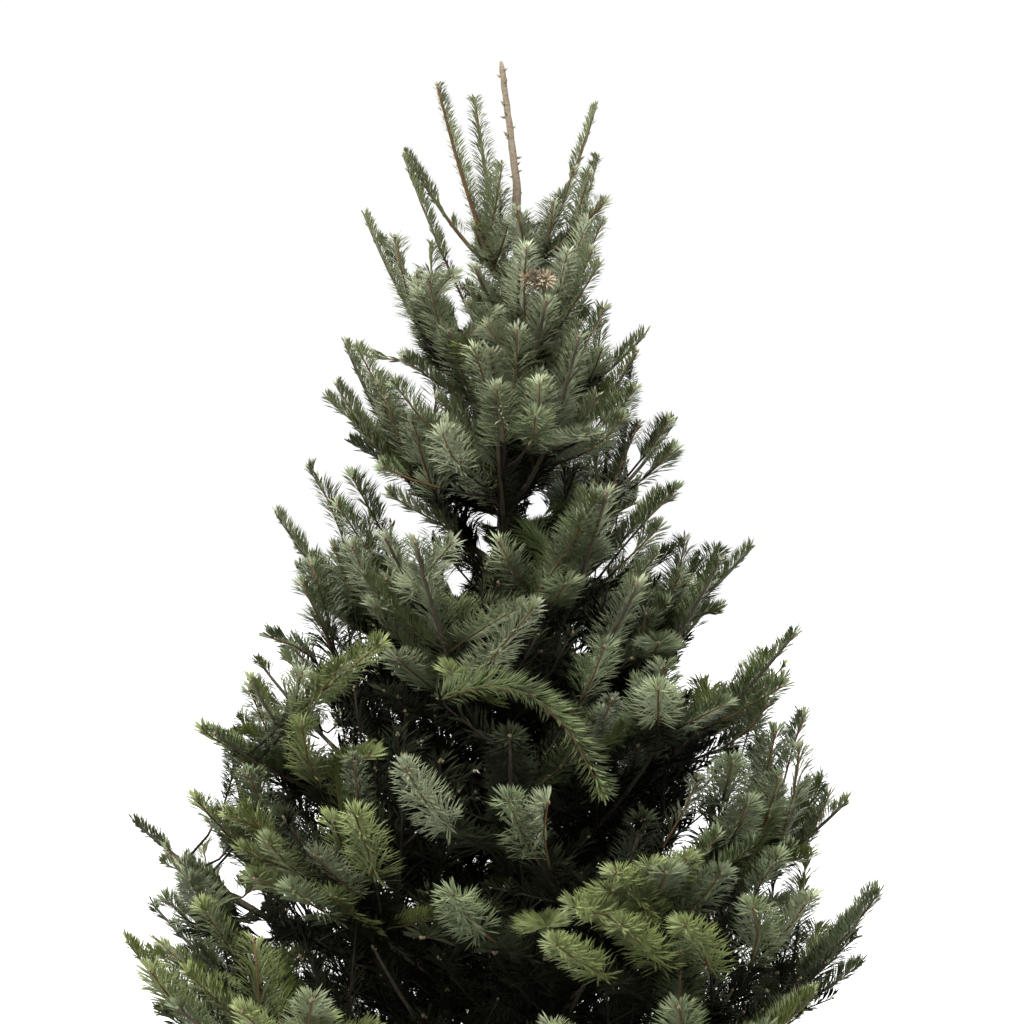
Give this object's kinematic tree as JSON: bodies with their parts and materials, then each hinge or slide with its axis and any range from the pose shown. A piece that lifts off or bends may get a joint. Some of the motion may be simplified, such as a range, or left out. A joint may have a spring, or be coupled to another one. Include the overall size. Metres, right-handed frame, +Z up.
{
  "type": "cut christmas tree on a wooden cross stand",
  "caption": "Cut fir tree with upswept needled boughs round a tapering trunk, standing on a plain lapped wooden cross with braces.",
  "frame": {"origin": "centre of the stand's flat underside, on the floor, under the middle of the trunk's butt", "axes": "+X to the right as the picture shows the tree, +Y away from its camera, +Z up along the trunk"},
  "size_m": [1.089, 1.0885, 1.85],
  "materials": {
    "bark": "rough grey-brown bark",
    "foliage": "waxy blue-green needles",
    "timber": "sawn softwood, unfinished"
  },
  "bodies": {
    "root": {"stand_beam_x": "timber", "stand_beam_y": "timber", "stand_brace_1": "timber", "stand_brace_2": "timber", "stand_brace_3": "timber", "stand_brace_4": "timber", "trunk": "bark", "bough_f1": "bark", "bough_f2": "bark", "bough_f3": "bark", "bough_f4": "bark", "bough_f5": "bark", "bough_g1": "bark", "bough_g2": "bark", "bough_g3": "bark", "bough_g4": "bark", "bough_g5": "bark", "bough_h1": "bark", "bough_h2": "bark", "bough_h3": "bark", "bough_h4": "bark", "bough_h5": "bark", "foliage_a1": "foliage", "foliage_a2": "foliage", "foliage_a3": "foliage", "foliage_a4": "foliage", "foliage_a5": "foliage", "foliage_b1": "foliage", "foliage_b2": "foliage", "foliage_b3": "foliage", "foliage_b4": "foliage", "foliage_c1": "foliage", "foliage_c2": "foliage", "foliage_c3": "foliage", "foliage_c4": "foliage", "foliage_d1": "foliage", "foliage_d2": "foliage", "foliage_d3": "foliage", "foliage_d4": "foliage", "foliage_d5": "foliage", "foliage_e1": "foliage", "foliage_e2": "foliage", "foliage_e3": "foliage", "foliage_e4": "foliage", "foliage_e5": "foliage", "foliage_f1": "foliage", "foliage_f2": "foliage", "foliage_f3": "foliage", "foliage_f4": "foliage", "foliage_f5": "foliage", "foliage_g1": "foliage", "foliage_g2": "foliage", "foliage_g3": "foliage", "foliage_g4": "foliage", "foliage_g5": "foliage", "foliage_h1": "foliage", "foliage_h2": "foliage", "foliage_h3": "foliage", "foliage_h4": "foliage", "foliage_h5": "foliage"}
  },
  "joints": []
}
